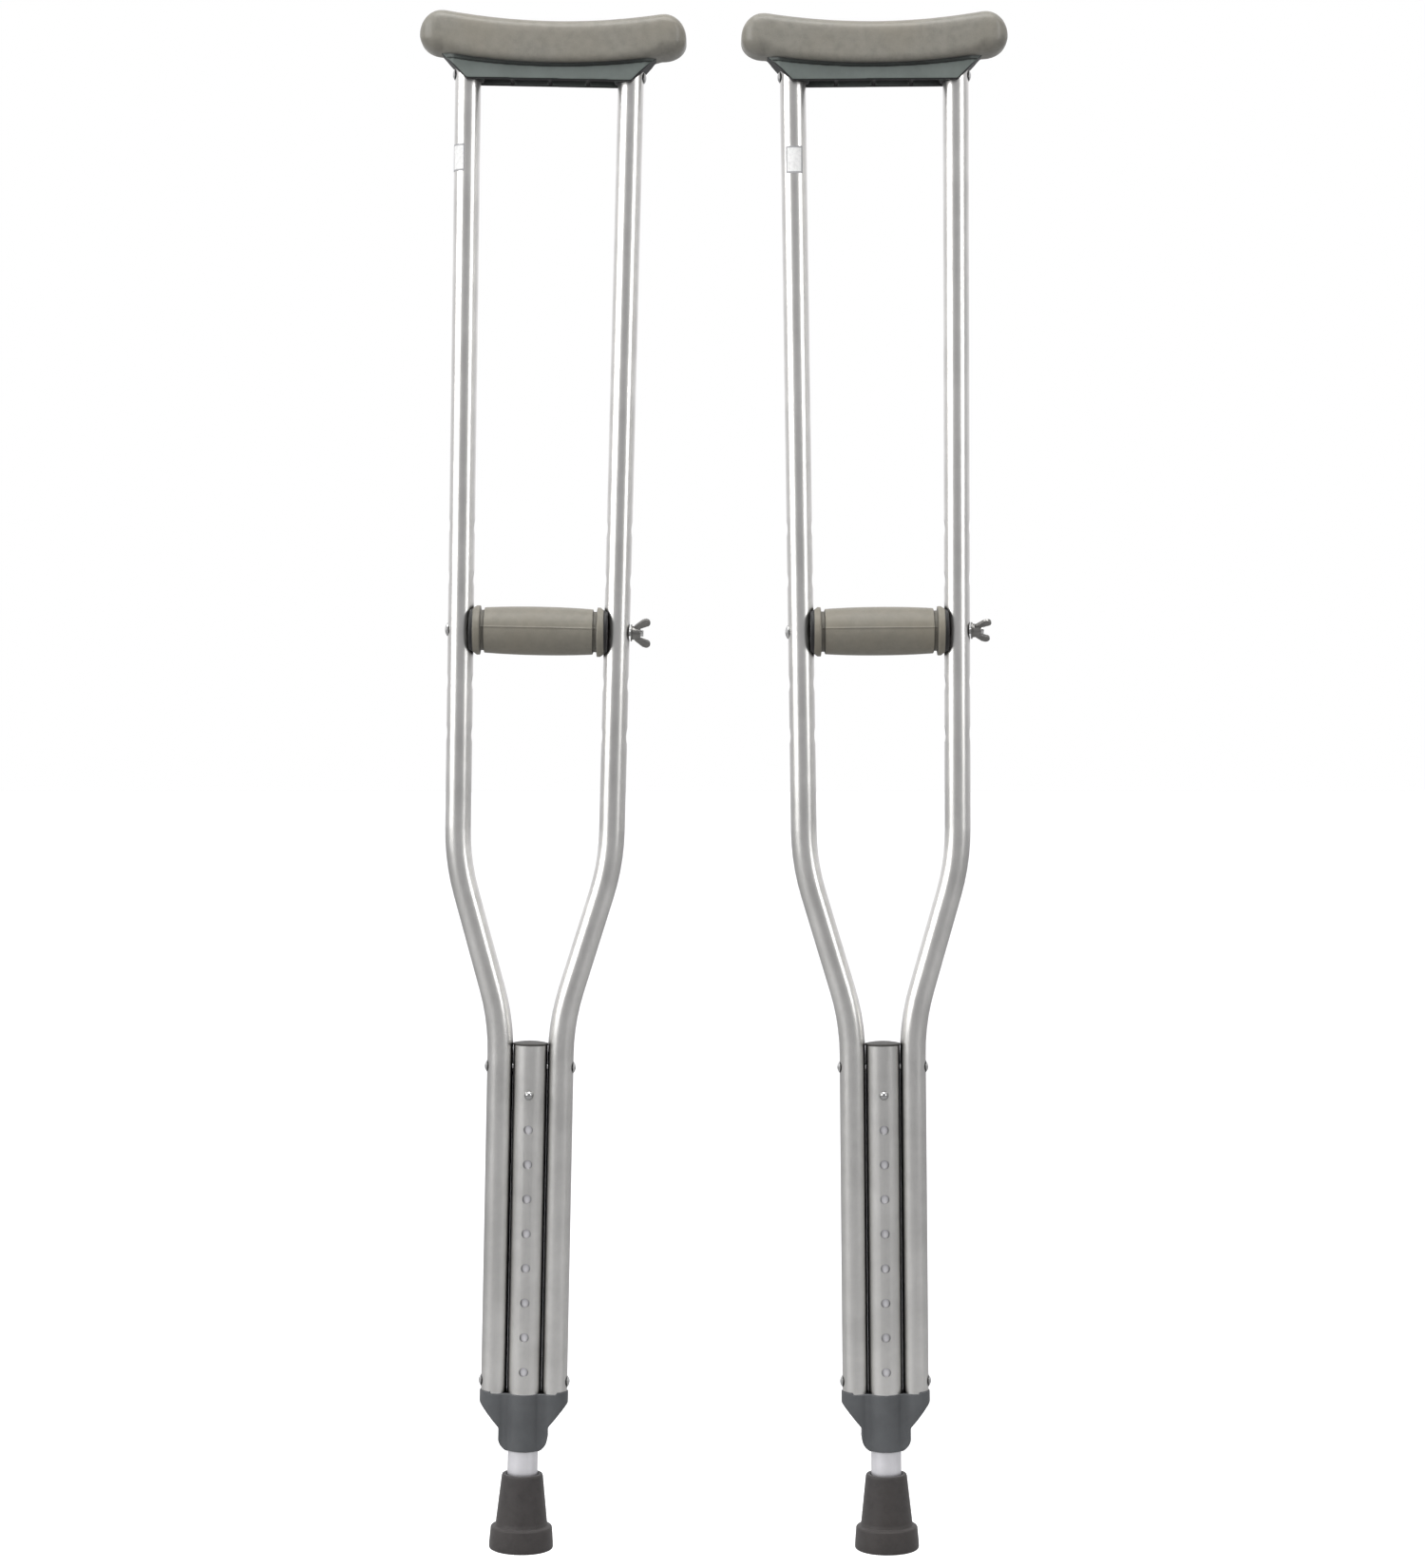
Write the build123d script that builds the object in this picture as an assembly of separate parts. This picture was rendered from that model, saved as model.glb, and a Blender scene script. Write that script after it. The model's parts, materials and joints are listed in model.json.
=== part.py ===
from build123d import *
import math
import os

# A pair of adjustable aluminium underarm crutches, in millimetres.
#
# Each crutch is modelled upright in its own frame: origin at the middle of the rubber tip's
# sole, +Z up the leg, +X across the two bows and -Y towards the side with the snap button.
# The pair then stands side by side along X, each crutch leaning a little in its own plane,
# and the origin of the pair is the bottom centre of its box.

# ---------------------------------------------------------------- driving dimensions
CRUTCHES = (  # name, place of the tip along X, lean towards +X in degrees
    ("left", -135.0, 1.12),
    ("right", 135.0, -0.50),
)

HOLE_PITCH_LEG = 25.4  # snap holes, one inch apart
HOLE_COUNT_LEG = 9
HOLE_PITCH_GRIP = 38.1  # grip holes, an inch and a half apart
HOLE_COUNT_GRIP = 5

BOW_R = 19.05 / 2  # 3/4 inch tube
BOW_WALL = 1.2
LEG_R = 22.225 / 2  # 7/8 inch tube
LEG_WALL = 1.25
CENTRE_R = 25.4 / 2  # 1 inch tube
SLIDE_GAP = 0.09  # radial running clearance of the leg in the centre tube

BOW_LOW_X = 22.28  # half spacing of the bows beside the centre tube
BOW_BEND_X = 56.6  # half spacing above the bends
BOW_TOP_X = 60.1  # half spacing under the pad
BEND_LOW_Z = 389.0
BEND_HIGH_Z = 506.0
BEND_RADIUS = 170.0
BOW_TOP_Z = 1089.5

YOKE_TOP_Z = 115.0
YOKE_BAND_Z = 107.0
YOKE_WAIST_Z = 87.0
YOKE_BOTTOM_Z = 68.0
YOKE_HALF_WIDTH = 32.65
YOKE_WAIST_X = 18.0
YOKE_COLLAR_R = 13.2
YOKE_COLLAR_BOTTOM_X = 12.0
YOKE_WEB_HALF_DEPTH = 8.0  # between the collar and the rounded ends
YOKE_LIP = 2.0  # how far the yoke's ends rise round the bows
PLUG_LENGTH = 27.0

CENTRE_TOP_Z = 371.0
BUTTON_Z = 335.0
CROSS_RIVET_Z = 355.0
YOKE_RIVET_Z = 123.5
BRACKET_RIVET_Z = 1085.0

LEG_TOP_Z = 348.0
LEG_BOTTOM_Z = 9.0
SNAP_HOLE_R = 3.4
BUTTON_R = 3.25
BUTTON_PROUD = 2.9
BUTTON_FLANGE_R = 4.2
BUTTON_FLANGE_FRONT_Y = -8.7
BUTTON_FLANGE_BACK_Y = -7.7
SPRING_WIDTH = 7.0
SPRING_THICK = 0.7
SPRING_BACK_Y = 8.9
SPRING_HEEL_Z = BUTTON_Z - 42.0
SPRING_TURN_R = 4.0

TIP_BASE_R = 23.75
TIP_FLANGE_R = 22.5
TIP_FLANGE_Z = 17.0
TIP_BODY_R = 19.2
TIP_TOP_R = 15.15
TIP_TOP_Z = 55.0
TIP_WASHER_R = 10.6
TIP_WASHER_THICK = 1.6
TIP_EDGE = 1.6  # bevel round the sole
TIP_STEP = 1.2  # bevels of the flange and the lip
TIP_NECK = 1.4  # fillet where the cup meets the flange
TIP_GROOVES_R = (10.0, 16.5)
TIP_GROOVE_DEPTH = 1.2
TIP_GROOVE_WIDTH = 2.4

GRIP_Z = 676.0
GRIP_HALF = 52.9
GRIP_RIM_R = 18.25
GRIP_RIM_WIDTH = 5.2
GRIP_NECK_R = 16.0
GRIP_MID_R = 18.6
GRIP_CORE_R = 10.0
GRIP_CORE_BORE_R = 3.0
GRIP_CORE_SHORT = 0.1  # the core stops just short of the bows
GRIP_GROOVE_SLOPE = 2.0  # along the grip, from the groove beside a rim to the barrel
GRIP_SOFT_EDGE = 1.2
SADDLE_GAP = 0.8  # room round the bows, which spread by half a degree over the grip's travel
DENT_DEPTH = 1.5
DENT_HALF_HEIGHT = 6.2

BOLT_R = 4.83 / 2  # number 10 bolt, 24 threads to the inch
BOLT_HOLE_R = 2.7
BOLT_HEAD_R = 5.0
BOLT_HEAD_THICK = 2.6
BOLT_HEAD_RIM = 0.8  # the straight part of the head, under its dome
BOLT_HEAD_SUNK = 0.5  # how deep the head sits in the dimple of the bow
BOLT_SLOT_WIDTH = 1.2
BOLT_SLOT_DEPTH = 1.0
BOLT_PAST_NUT = 2.2
WASHER_R = 6.2
WASHER_THICK = 1.0
WASHER_GAP = 0.65
NUT_BASE_R = 5.2
NUT_TOP_R = 4.3
NUT_HEIGHT = 6.2
NUT_WING_THICK = 2.2
NUT_LOBE = (9.3, 10.4)  # the middle of a wing's round lobe: out from the bolt, and along it
NUT_LOBE_R = 3.1
NUT_WING_FOOT = 0.9  # how far a wing's root stays above the washer
NUT_ANGLE = {"left": 35.0, "right": 53.0}  # how far each wing nut has stopped round its bolt

RIVET_R = 2.4
RIVET_HEAD_R = 4.4
RIVET_HEAD_RISE = 1.8

BRACKET_HALF_DEPTH = 16.0
BRACKET_WALL = 3.0
BRACKET_POST_WALL = 2.4  # round the top of each bow
BRACKET_RIB = 2.4
BRACKET_RIB_RISE = 2.0  # from the bracket's lower edge to the ribs
BRACKET_CROSS_RIBS_X = (-28.0, 0.0, 28.0)
BRACKET_BOTTOM_Z = 1080.0
BRACKET_BOTTOM_X = 60.5
BRACKET_SHOULDER_Z = 1100.0
BRACKET_SHOULDER_X = 80.5
BRACKET_TOP_Z = 1106.0  # at the middle of the saddle
BRACKET_HORN_Z = 1113.0
BRACKET_HORN_X = 84.0

PAD_HALF_DEPTH = 21.5
PAD_HALF_LENGTH = 99.3
PAD_TOP_Z = 1124.0
PAD_HORN_Z = 1131.8
PAD_HORN_X = 86.0
PAD_NOSE_Z = 1112.0
PAD_HEEL_X = 90.0
PAD_HEEL_Z = 1099.0
PAD_SEAM_X = 79.0
PAD_SEAM_Z = 1099.0
PAD_BELLY_Z = 1092.0
PAD_CORNER_R = 17.0

LABEL_THICK = 0.14
LABEL_GAP = 0.02
LABEL_HEIGHT = 20.0
LABEL_SPREAD = 78.0  # degrees of the tube that the label wraps
LABEL_Z = 1013.0
LABEL_TURN = {"left": -48.0, "right": 0.0}  # how far round the bow from its front

FINE_GAP = 0.05  # between rivets or plugs and what they sit in

GRIP_HOLE_STEPS = range(-(HOLE_COUNT_GRIP // 2), HOLE_COUNT_GRIP // 2 + 1)


# ---------------------------------------------------------------- helpers
def rod(x, y, z0, z1, radius):
    """An upright cylinder from z0 to z1."""
    return Pos(x, y, (z0 + z1) / 2) * Cylinder(radius, z1 - z0)


def cross_rod(z, x0, x1, radius):
    """A cylinder along X from x0 to x1, at height z."""
    return Pos((x0 + x1) / 2, 0, z) * Rot(0, 90, 0) * Cylinder(radius, x1 - x0)


def depth_rod(z, y0, y1, radius):
    """A cylinder along Y from y0 to y1, at height z."""
    return Pos(0, (y0 + y1) / 2, z) * Rot(90, 0, 0) * Cylinder(radius, y1 - y0)


def bow_x(z):
    """Half spacing of the bows' axes in their long upper stretch."""
    share = (z - BEND_HIGH_Z) / (BOW_TOP_Z - BEND_HIGH_Z)
    return BOW_BEND_X + share * (BOW_TOP_X - BOW_BEND_X)


def front_slab(outline, half_depth):
    """A closed outline in the XZ plane, made half_depth thick to the front and the back."""
    return extrude(make_face(Plane.XZ * outline), half_depth, both=True)


def spun(outline):
    """A half outline of (radius, height), turned about the vertical axis."""
    return revolve(make_face(Plane.XZ * outline), Axis.Z)


def crown_arc(radius, base, rise):
    """The arc of a ball, in (radius, height), from a rim at height base to the top of its crown."""
    ball_r = (radius**2 + rise**2) / (2 * rise)
    half_way = math.asin(radius / ball_r) / 2
    middle = (ball_r * math.sin(half_way), base + rise - ball_r * (1 - math.cos(half_way)))
    return ThreePointArc((radius, base), middle, (0, base + rise))


def domed_head(x, z, side, radius, rise):
    """A low domed rivet or bolt head that sits on the plane x and bulges towards side."""
    outline = Polyline((0, rise), (0, 0), (radius, 0)) + crown_arc(radius, 0, rise)
    return Pos(x, 0, z) * Rot(0, side * 90, 0) * spun(outline)


# ---------------------------------------------------------------- frame tubes
def bow_path(side):
    """The centre line of one bow: straight, bent outward, and bent back to nearly upright."""
    return FilletPolyline(
        (side * BOW_LOW_X, 0, YOKE_TOP_Z),
        (side * BOW_LOW_X, 0, BEND_LOW_Z),
        (side * BOW_BEND_X, 0, BEND_HIGH_Z),
        (side * BOW_TOP_X, 0, BOW_TOP_Z),
        radius=BEND_RADIUS,
    )


def bow_rod(side, radius):
    path = bow_path(side)
    return sweep(Plane(path @ 0, z_dir=path % 0) * Circle(radius), path=path)


def bow_dents(side, grow):
    """The balls that press a dimple round each grip hole, on both sides of a bow."""
    ball_r = (DENT_HALF_HEIGHT**2 + DENT_DEPTH**2) / (2 * DENT_DEPTH)
    balls = Part()
    for step in GRIP_HOLE_STEPS:
        z = GRIP_Z + step * HOLE_PITCH_GRIP
        for face in (-1, 1):
            x = side * bow_x(z) + face * (BOW_R - DENT_DEPTH + ball_r)
            balls += Pos(x, 0, z) * Sphere(ball_r + grow)
    return balls


def bow_tube(side):
    """A bow: a bent tube, dimpled and drilled for the grip, and drilled for its rivets."""
    skin = bow_rod(side, BOW_R) - bow_dents(side, 0)
    hollow = bow_rod(side, BOW_R - BOW_WALL) - bow_dents(side, BOW_WALL)
    tube = skin - hollow
    for step in GRIP_HOLE_STEPS:
        z = GRIP_Z + step * HOLE_PITCH_GRIP
        reach = side * bow_x(z)
        tube -= cross_rod(z, reach - 2 * BOW_R, reach + 2 * BOW_R, BOLT_HOLE_R)
    outside = side * 2 * BOW_TOP_X
    hole_r = RIVET_R + FINE_GAP
    drilled = ((CROSS_RIVET_Z, 0), (YOKE_RIVET_Z, BOW_LOW_X), (BRACKET_RIVET_Z, BOW_TOP_X))
    for z, axis_x in drilled:
        ends = sorted((side * axis_x, outside))
        tube -= cross_rod(z, ends[0], ends[1], hole_r)
    return tube


def centre_tube():
    """The outer telescoping tube, with a row of snap holes down its front."""
    tube = rod(0, 0, YOKE_TOP_Z, CENTRE_TOP_Z, CENTRE_R)
    tube -= rod(0, 0, YOKE_TOP_Z, CENTRE_TOP_Z, LEG_R + SLIDE_GAP)
    for step in range(HOLE_COUNT_LEG):
        z = BUTTON_Z - step * HOLE_PITCH_LEG
        tube -= depth_rod(z, -2 * CENTRE_R, 0, SNAP_HOLE_R)
    return tube - cross_rod(CROSS_RIVET_Z, -2 * CENTRE_R, 2 * CENTRE_R, RIVET_R + FINE_GAP)


def tube_cap():
    """The plastic plug that closes the centre tube: a domed disc on a short stem."""
    rim_r = CENTRE_R + 0.2
    stem_r = LEG_R + SLIDE_GAP
    stem_length = 9.0
    disc_thick = 1.4
    dome_rise = 1.5
    disc_z = CENTRE_TOP_Z + disc_thick
    stem_z = CENTRE_TOP_Z - stem_length
    outline = Polyline(
        (0, disc_z + dome_rise),
        (0, stem_z),
        (stem_r, stem_z),
        (stem_r, CENTRE_TOP_Z),
        (rim_r, CENTRE_TOP_Z),
        (rim_r, disc_z),
    )
    outline += crown_arc(rim_r, disc_z, dome_rise)
    cap = spun(outline)
    hollow_r = stem_r - 2.0
    return cap - rod(0, 0, stem_z, CENTRE_TOP_Z - 1.0, hollow_r)


def cross_rivet():
    """The long rivet that clamps both bows to the top of the centre tube."""
    reach = BOW_LOW_X + BOW_R
    rivet = cross_rod(CROSS_RIVET_Z, -reach, reach, RIVET_R)
    for side in (-1, 1):
        rivet += domed_head(side * reach, CROSS_RIVET_Z, side, RIVET_HEAD_R, RIVET_HEAD_RISE)
    return rivet


def side_rivets(z, axis_x):
    """Two short rivets, one through the outer wall of each bow into a plastic plug."""
    rivets = Part()
    for side in (-1, 1):
        face = side * (axis_x + BOW_R)
        ends = sorted((side * axis_x, face))
        rivets += cross_rod(z, ends[0], ends[1], RIVET_R)
        rivets += domed_head(face, z, side, RIVET_HEAD_R, RIVET_HEAD_RISE)
    return rivets


# ---------------------------------------------------------------- yoke
def yoke_outline():
    """The yoke from the front: a wide band, sloping shoulders and a rounded collar below."""
    top_z = YOKE_TOP_Z + YOKE_LIP
    collar_z = YOKE_WAIST_Z - 7.0
    cheek_x = YOKE_WAIST_X - 1.5
    cheek_z = YOKE_BOTTOM_Z + 4.6
    outline = Polyline(
        (YOKE_WAIST_X, collar_z),
        (YOKE_WAIST_X, YOKE_WAIST_Z),
        (YOKE_HALF_WIDTH, YOKE_BAND_Z),
        (YOKE_HALF_WIDTH, top_z),
        (-YOKE_HALF_WIDTH, top_z),
        (-YOKE_HALF_WIDTH, YOKE_BAND_Z),
        (-YOKE_WAIST_X, YOKE_WAIST_Z),
        (-YOKE_WAIST_X, collar_z),
    )
    low_left = (-YOKE_COLLAR_BOTTOM_X, YOKE_BOTTOM_Z)
    low_right = (YOKE_COLLAR_BOTTOM_X, YOKE_BOTTOM_Z)
    outline += ThreePointArc((-YOKE_WAIST_X, collar_z), (-cheek_x, cheek_z), low_left)
    outline += Line(low_left, low_right)
    return outline + ThreePointArc(low_right, (cheek_x, cheek_z), (YOKE_WAIST_X, collar_z))


def yoke():
    """The moulded connector: it plugs into both bows and guides the leg out of the centre tube."""
    lobe_r = YOKE_HALF_WIDTH - BOW_LOW_X
    plug_r = BOW_R - BOW_WALL - FINE_GAP
    top_z = YOKE_TOP_Z + YOKE_LIP
    height = top_z - YOKE_BOTTOM_Z
    plan = rod(0, 0, YOKE_BOTTOM_Z, top_z, YOKE_COLLAR_R)
    web = Box(2 * BOW_LOW_X, 2 * YOKE_WEB_HALF_DEPTH, height)
    plan += Pos(0, 0, (top_z + YOKE_BOTTOM_Z) / 2) * web
    for side in (-1, 1):
        plan += rod(side * BOW_LOW_X, 0, YOKE_BOTTOM_Z, top_z, lobe_r)
    body = front_slab(yoke_outline(), 2 * CENTRE_R) & plan
    between_lips = Box(2 * BOW_LOW_X + 4.0, 4 * CENTRE_R, YOKE_LIP)
    body -= Pos(0, 0, top_z - YOKE_LIP / 2) * between_lips
    for side in (-1, 1):
        body -= rod(side * BOW_LOW_X, 0, YOKE_TOP_Z, top_z, BOW_R)
        body += rod(side * BOW_LOW_X, 0, YOKE_BAND_Z, YOKE_TOP_Z + PLUG_LENGTH, plug_r)
        ends = sorted((side * BOW_LOW_X, side * 2 * BOW_LOW_X))
        body -= cross_rod(YOKE_RIVET_Z, ends[0], ends[1], RIVET_R)
    return body - rod(0, 0, YOKE_BOTTOM_Z, top_z, LEG_R + 2 * SLIDE_GAP)


# ---------------------------------------------------------------- leg
def leg_tube():
    """The inner telescoping tube, drilled once for the snap button."""
    tube = rod(0, 0, LEG_BOTTOM_Z, LEG_TOP_Z, LEG_R)
    tube -= rod(0, 0, LEG_BOTTOM_Z, LEG_TOP_Z, LEG_R - LEG_WALL)
    return tube - depth_rod(BUTTON_Z, -2 * LEG_R, 0, BUTTON_R + SLIDE_GAP)


def snap_button():
    """The round-nosed pin that locks the leg, with a flange that keeps it inside the tube."""
    ball_y = BUTTON_R - CENTRE_R - BUTTON_PROUD
    pin = depth_rod(BUTTON_Z, ball_y, BUTTON_FLANGE_FRONT_Y, BUTTON_R)
    pin += Pos(0, ball_y, BUTTON_Z) * Sphere(BUTTON_R)
    return pin + depth_rod(BUTTON_Z, BUTTON_FLANGE_FRONT_Y, BUTTON_FLANGE_BACK_Y, BUTTON_FLANGE_R)


def snap_spring():
    """The bent steel leaf inside the leg that pushes the button out."""
    front_y = BUTTON_FLANGE_BACK_Y + SPRING_THICK / 2 + FINE_GAP
    leaf = FilletPolyline(
        (0, front_y, BUTTON_Z + 6.0),
        (0, front_y, BUTTON_Z - 8.0),
        (0, 0, SPRING_HEEL_Z),
        (0, SPRING_BACK_Y, BUTTON_Z - 6.0),
        radius=SPRING_TURN_R,
    )
    strip = Rectangle(SPRING_WIDTH, SPRING_THICK)
    return sweep(Plane(leaf @ 0, x_dir=(1, 0, 0), z_dir=leaf % 0) * strip, path=leaf)


def rubber_tip():
    """The ferrule: a tapered cup on a flared foot, with two ring grooves in its sole."""
    outline = Polyline(
        (0, 0),
        (TIP_BASE_R - TIP_EDGE, 0),
        (TIP_BASE_R, TIP_EDGE),
        (TIP_FLANGE_R, TIP_FLANGE_Z - TIP_STEP),
        (TIP_FLANGE_R - TIP_STEP, TIP_FLANGE_Z),
        (TIP_BODY_R + TIP_NECK, TIP_FLANGE_Z),
        (TIP_BODY_R, TIP_FLANGE_Z + TIP_NECK),
        (TIP_TOP_R, TIP_TOP_Z - TIP_STEP),
        (TIP_TOP_R - TIP_STEP, TIP_TOP_Z),
        (0, TIP_TOP_Z),
        (0, 0),
    )
    cup = spun(outline)
    cup -= rod(0, 0, LEG_BOTTOM_Z - TIP_WASHER_THICK, TIP_TOP_Z, LEG_R)
    for groove_r in TIP_GROOVES_R:
        ring = rod(0, 0, 0, TIP_GROOVE_DEPTH, groove_r + TIP_GROOVE_WIDTH / 2)
        cup -= ring - rod(0, 0, 0, TIP_GROOVE_DEPTH, groove_r - TIP_GROOVE_WIDTH / 2)
    return cup


def tip_washer():
    """The steel disc that keeps the leg from cutting through the tip."""
    return rod(0, 0, LEG_BOTTOM_Z - TIP_WASHER_THICK, LEG_BOTTOM_Z, TIP_WASHER_R)


# ---------------------------------------------------------------- handgrip
def bow_notches(part):
    """Cuts the saddle at each end where the grip sits against a bow."""
    reach = 2 * GRIP_RIM_R
    for side in (-1, 1):
        x = side * bow_x(GRIP_Z)
        part -= rod(x, 0, GRIP_Z - reach, GRIP_Z + reach, BOW_R + SADDLE_GAP)
        ends = sorted((x, 2 * x))
        middle = (ends[0] + ends[1]) / 2
        width = ends[1] - ends[0]
        part -= Pos(middle, 0, GRIP_Z) * Box(width, 2 * (BOW_R + SADDLE_GAP), 2 * reach)
    return part


def grip_sleeve():
    """The moulded hand grip: a barrel with a rim and a groove at each end."""
    rim_x = GRIP_HALF - GRIP_RIM_WIDTH
    neck_x = rim_x - GRIP_GROOVE_SLOPE
    soft = GRIP_SOFT_EDGE
    outline = Polyline(
        (-neck_x, GRIP_NECK_R),
        (-rim_x, GRIP_NECK_R),
        (-rim_x, GRIP_RIM_R - soft),
        (-rim_x - soft, GRIP_RIM_R),
        (-GRIP_HALF + soft, GRIP_RIM_R),
        (-GRIP_HALF, GRIP_RIM_R - soft),
        (-GRIP_HALF, 0),
        (GRIP_HALF, 0),
        (GRIP_HALF, GRIP_RIM_R - soft),
        (GRIP_HALF - soft, GRIP_RIM_R),
        (rim_x + soft, GRIP_RIM_R),
        (rim_x, GRIP_RIM_R - soft),
        (rim_x, GRIP_NECK_R),
        (neck_x, GRIP_NECK_R),
    )
    outline += ThreePointArc((neck_x, GRIP_NECK_R), (0, GRIP_MID_R), (-neck_x, GRIP_NECK_R))
    barrel = revolve(make_face(Plane.XZ * outline), Axis.X)
    sleeve = Pos(0, 0, GRIP_Z) * barrel
    sleeve -= cross_rod(GRIP_Z, -GRIP_HALF, GRIP_HALF, GRIP_CORE_R)
    return bow_notches(sleeve)


def grip_core():
    """The stiff plastic tube inside the grip, which the bolt clamps between the bows."""
    half = bow_x(GRIP_Z) - BOW_R - SADDLE_GAP - GRIP_CORE_SHORT
    core = cross_rod(GRIP_Z, -half, half, GRIP_CORE_R)
    return core - cross_rod(GRIP_Z, -half, half, GRIP_CORE_BORE_R)


def bow_face_x():
    """How far out the bows' outer faces lie at the grip."""
    return bow_x(GRIP_Z) + BOW_R


def grip_bolt():
    """The bolt through both bows: its head sits in the dimple on the -X side."""
    seat = -(bow_face_x() - BOLT_HEAD_SUNK)
    end = bow_face_x() + WASHER_GAP + WASHER_THICK + NUT_HEIGHT + BOLT_PAST_NUT
    bolt = cross_rod(GRIP_Z, seat, end, BOLT_R)
    bolt += cross_rod(GRIP_Z, seat - BOLT_HEAD_RIM, seat, BOLT_HEAD_R)
    dome_rise = BOLT_HEAD_THICK - BOLT_HEAD_RIM
    head = domed_head(seat - BOLT_HEAD_RIM, GRIP_Z, -1, BOLT_HEAD_R, dome_rise)
    slot = Box(2 * BOLT_SLOT_DEPTH, BOLT_SLOT_WIDTH, 4 * BOLT_HEAD_R)
    return bolt + head - Pos(seat - BOLT_HEAD_THICK, 0, GRIP_Z) * slot


def nut_washer():
    x0 = bow_face_x() + WASHER_GAP
    disc = cross_rod(GRIP_Z, x0, x0 + WASHER_THICK, WASHER_R)
    return disc - cross_rod(GRIP_Z, x0, x0 + WASHER_THICK, BOLT_R + FINE_GAP)


def wing_nut(angle):
    """A wing nut: a tapered hub with two flat wings that end in round lobes."""
    lobe_x, lobe_z = NUT_LOBE
    hub = Pos(0, 0, NUT_HEIGHT / 2) * Cone(NUT_BASE_R, NUT_TOP_R, NUT_HEIGHT)
    inner_x = NUT_BASE_R / 2
    wing = Polyline(
        (inner_x, NUT_WING_FOOT),
        (NUT_BASE_R + 1.0, 2 * NUT_WING_FOOT),
        (lobe_x + 0.84 * NUT_LOBE_R, lobe_z - 0.77 * NUT_LOBE_R),
        (lobe_x - 0.84 * NUT_LOBE_R, lobe_z + 0.52 * NUT_LOBE_R),
        (NUT_TOP_R, NUT_HEIGHT),
        (inner_x, NUT_HEIGHT),
        (inner_x, NUT_WING_FOOT),
    )
    blade = front_slab(wing, NUT_WING_THICK / 2)
    blade += Pos(lobe_x, 0, lobe_z) * Rot(90, 0, 0) * Cylinder(NUT_LOBE_R, NUT_WING_THICK)
    nut = hub + blade + Rot(0, 0, 180) * blade
    nut -= rod(0, 0, -NUT_HEIGHT, 3 * NUT_HEIGHT, BOLT_R + FINE_GAP)
    x0 = bow_face_x() + WASHER_GAP + WASHER_THICK
    return Pos(x0, 0, GRIP_Z) * Rot(angle, 0, 0) * Rot(0, 90, 0) * nut


# ---------------------------------------------------------------- underarm rest
def bracket_outline(inset):
    """The bracket from the front: narrow below, flared above, with a saddle-shaped top."""
    shoulder_x = BRACKET_SHOULDER_X - inset
    horn = (BRACKET_HORN_X - inset, BRACKET_HORN_Z - inset)
    bottom_x = BRACKET_BOTTOM_X - inset
    bottom_z = BRACKET_BOTTOM_Z - inset
    outline = Polyline(
        (-horn[0], horn[1]),
        (-shoulder_x, BRACKET_SHOULDER_Z),
        (-bottom_x, bottom_z),
        (bottom_x, bottom_z),
        (shoulder_x, BRACKET_SHOULDER_Z),
        horn,
    )
    return outline + ThreePointArc(horn, (0, BRACKET_TOP_Z - inset), (-horn[0], horn[1]))


def bracket_ribs():
    """The ribs that stiffen the open underside: one lengthwise and three across."""
    depth = BRACKET_HORN_Z - BRACKET_BOTTOM_Z
    middle_z = BRACKET_BOTTOM_Z + BRACKET_RIB_RISE + depth / 2
    ribs = Pos(0, 0, middle_z) * Box(2 * BOW_TOP_X, BRACKET_RIB, depth)
    for x in BRACKET_CROSS_RIBS_X:
        ribs += Pos(x, 0, middle_z) * Box(BRACKET_RIB, 2 * BRACKET_HALF_DEPTH, depth)
    return ribs


def underarm_bracket():
    """The plastic saddle: a ribbed shell, open below, with a stem inside the top of each bow."""
    outside = front_slab(bracket_outline(0), BRACKET_HALF_DEPTH)
    shell = outside - front_slab(bracket_outline(BRACKET_WALL), BRACKET_HALF_DEPTH - BRACKET_WALL)
    shell += bracket_ribs() & outside
    stem_low = BOW_TOP_Z - PLUG_LENGTH
    for side in (-1, 1):
        top_end = Pos(side * BOW_TOP_X, 0, (stem_low + BOW_TOP_Z) / 2)
        block = top_end * Box(4 * BOW_R, 4 * BOW_R, PLUG_LENGTH)
        roof = rod(side * BOW_TOP_X, 0, BOW_TOP_Z, BRACKET_HORN_Z, BOW_R)
        shell += bow_rod(side, BOW_R + BRACKET_POST_WALL) & block & outside
        shell += roof & outside
        shell -= bow_rod(side, BOW_R + FINE_GAP) & block
        shell += bow_rod(side, BOW_R - BOW_WALL - FINE_GAP) & block
        ends = sorted((side * BOW_TOP_X, side * 2 * BOW_TOP_X))
        shell -= cross_rod(BRACKET_RIVET_Z, ends[0], ends[1], RIVET_R)
    return shell


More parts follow.
